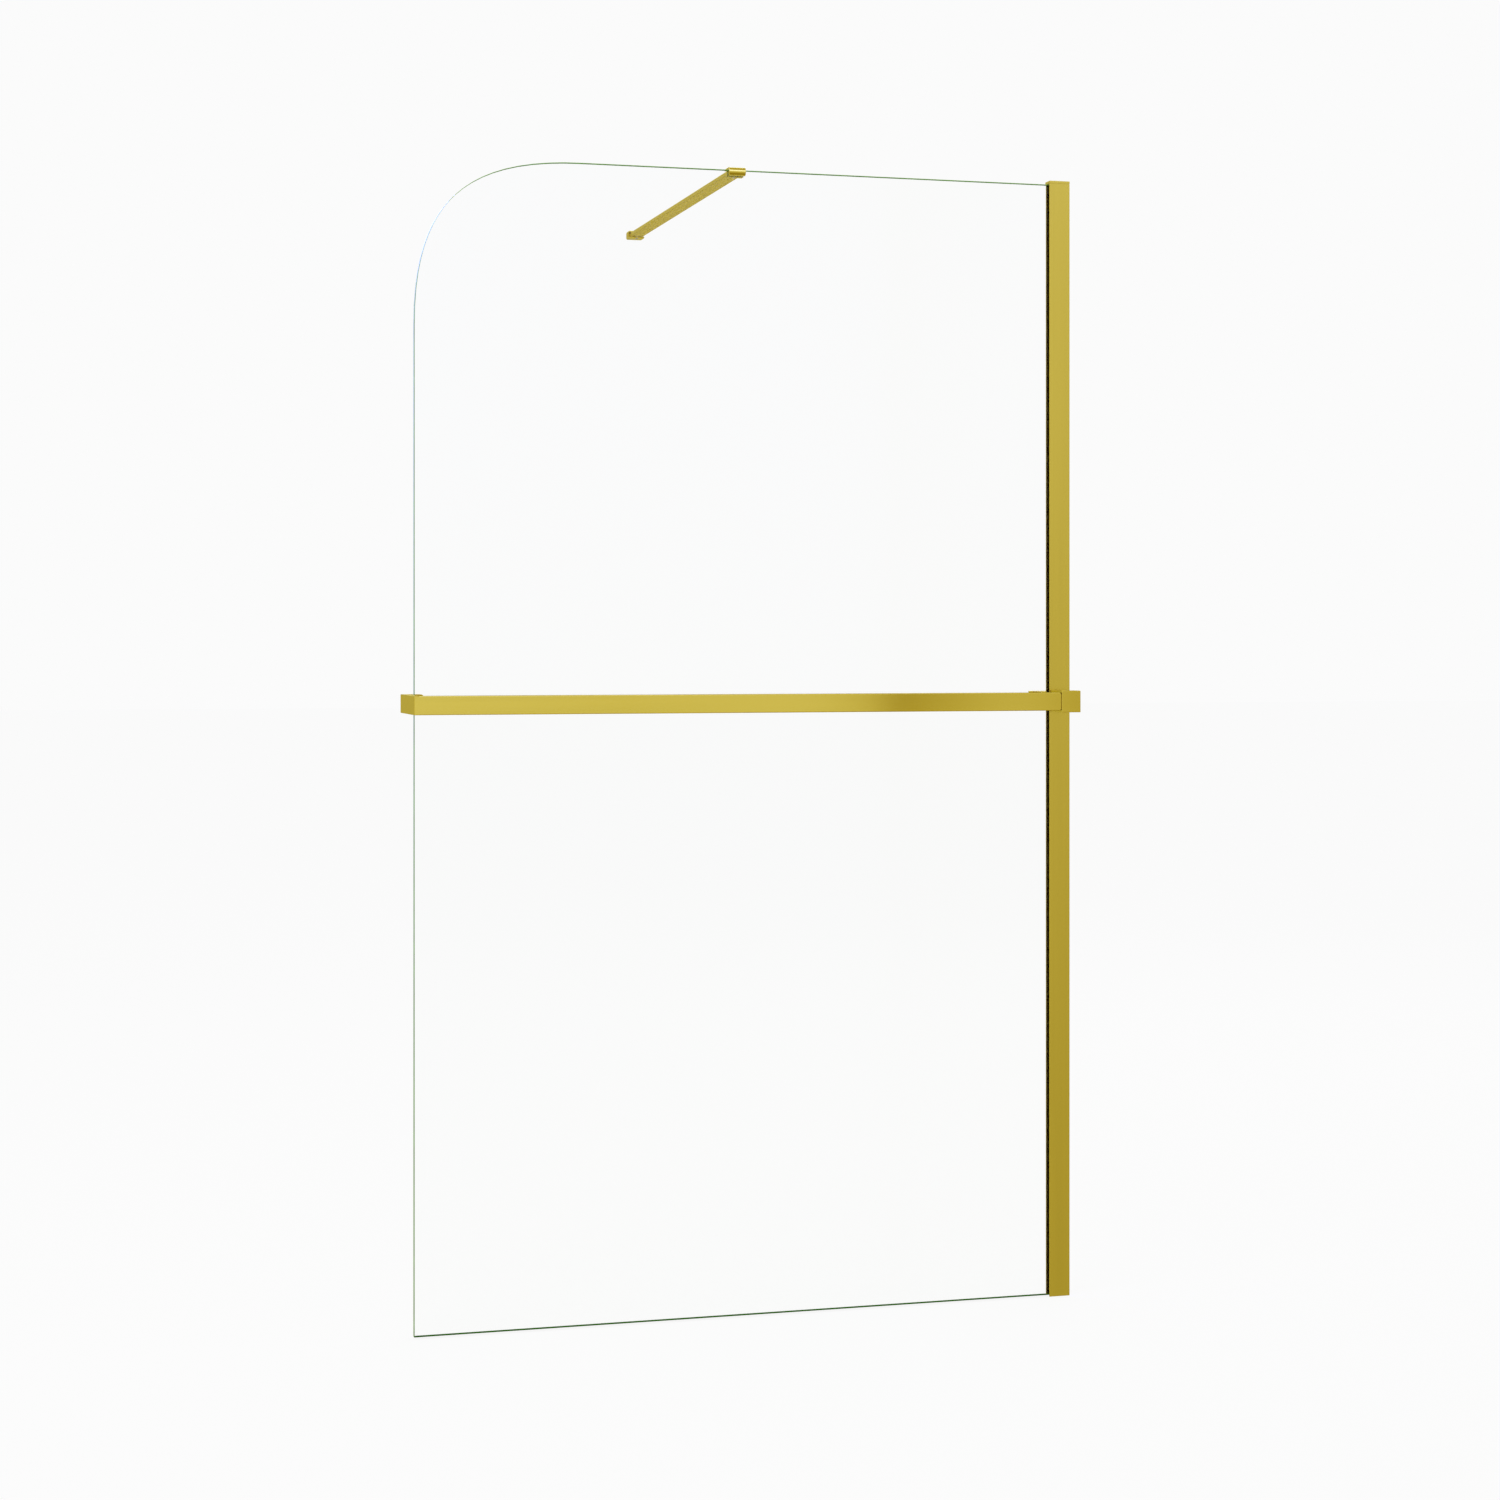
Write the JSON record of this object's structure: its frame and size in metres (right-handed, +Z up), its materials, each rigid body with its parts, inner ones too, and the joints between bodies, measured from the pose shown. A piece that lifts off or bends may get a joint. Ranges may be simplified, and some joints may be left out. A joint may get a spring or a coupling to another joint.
{
  "type": "shower screen",
  "caption": "Fixed glass shower screen with a rounded free corner, gold wall profile, a towel rail wrapped round the free edge and a flat brace arm to the far wall.",
  "frame": {"origin": "on the wall face of the channel, on the middle plane of the pane, level with the foot of the wall profile", "axes": "+X into the wall that the profile is fixed to, +Y from the pane to the far wall that the brace arm meets, +Z up"},
  "size_m": [0.8374, 0.6161, 1.406],
  "materials": {
    "gold_profile": "satin gold anodised",
    "gold_brushed": "brushed gold",
    "gold_cast": "brushed gold",
    "gold_plastic": "satin gold",
    "clear_glass": "clear toughened, polished edges",
    "black_gasket": "matt",
    "clear_rubber": "matt",
    "steel": "plain",
    "raw_aluminium": "mill",
    "nylon": "matt"
  },
  "bodies": {
    "wall": {"wall_channel": "raw_aluminium"},
    "screen": {"glass_profile": "gold_profile", "profile_top_cap": "gold_profile", "glass_pane": "clear_glass", "gasket_front": "black_gasket", "gasket_rear": "black_gasket", "setting_blocks": "clear_rubber", "adjusting_screws": "steel", "adjusting_nuts": "steel", "adjusting_screw_caps": "gold_plastic", "towel_rail": "gold_brushed", "rail_end_arm": "gold_brushed", "rail_clamp_jaw": "gold_brushed", "rail_clamp_screws": "steel", "rail_glass_liner": "clear_rubber", "rail_wall_block": "gold_brushed", "rail_rear_block": "gold_brushed", "rail_grub_screws": "steel", "bracket_studs": "steel", "bracket_grub_screws": "steel"},
    "clamp": {"arm_clamp_body": "gold_cast", "arm_clamp_liner": "clear_rubber", "arm_clamp_screws": "steel", "arm_pin": "steel", "arm_washers": "nylon"},
    "bar": {"support_bar": "gold_brushed"},
    "foot": {"foot_body": "gold_cast", "foot_pin": "steel", "foot_washers": "nylon"}
  },
  "joints": [
    {"name": "profile_adjust", "type": "slide", "parent": "wall", "child": "screen", "axis": [-1, 0, 0], "range_m": [0, 0.008]},
    {"name": "clamp_slide", "type": "slide", "parent": "screen", "child": "clamp", "axis": [1, 0, 0], "range_m": [-0.18, 0.38]},
    {"name": "arm_swing", "type": "hinge", "parent": "clamp", "child": "bar", "pos_m": [-0.4342, 0.012, 1.3992], "axis": [0, 0, 1], "range_deg": [-45, 45]},
    {"name": "foot_swing", "type": "hinge", "parent": "bar", "child": "foot", "pos_m": [-0.4342, 0.541, 1.3992], "axis": [0, 0, 1], "range_deg": [-45, 45]}
  ]
}
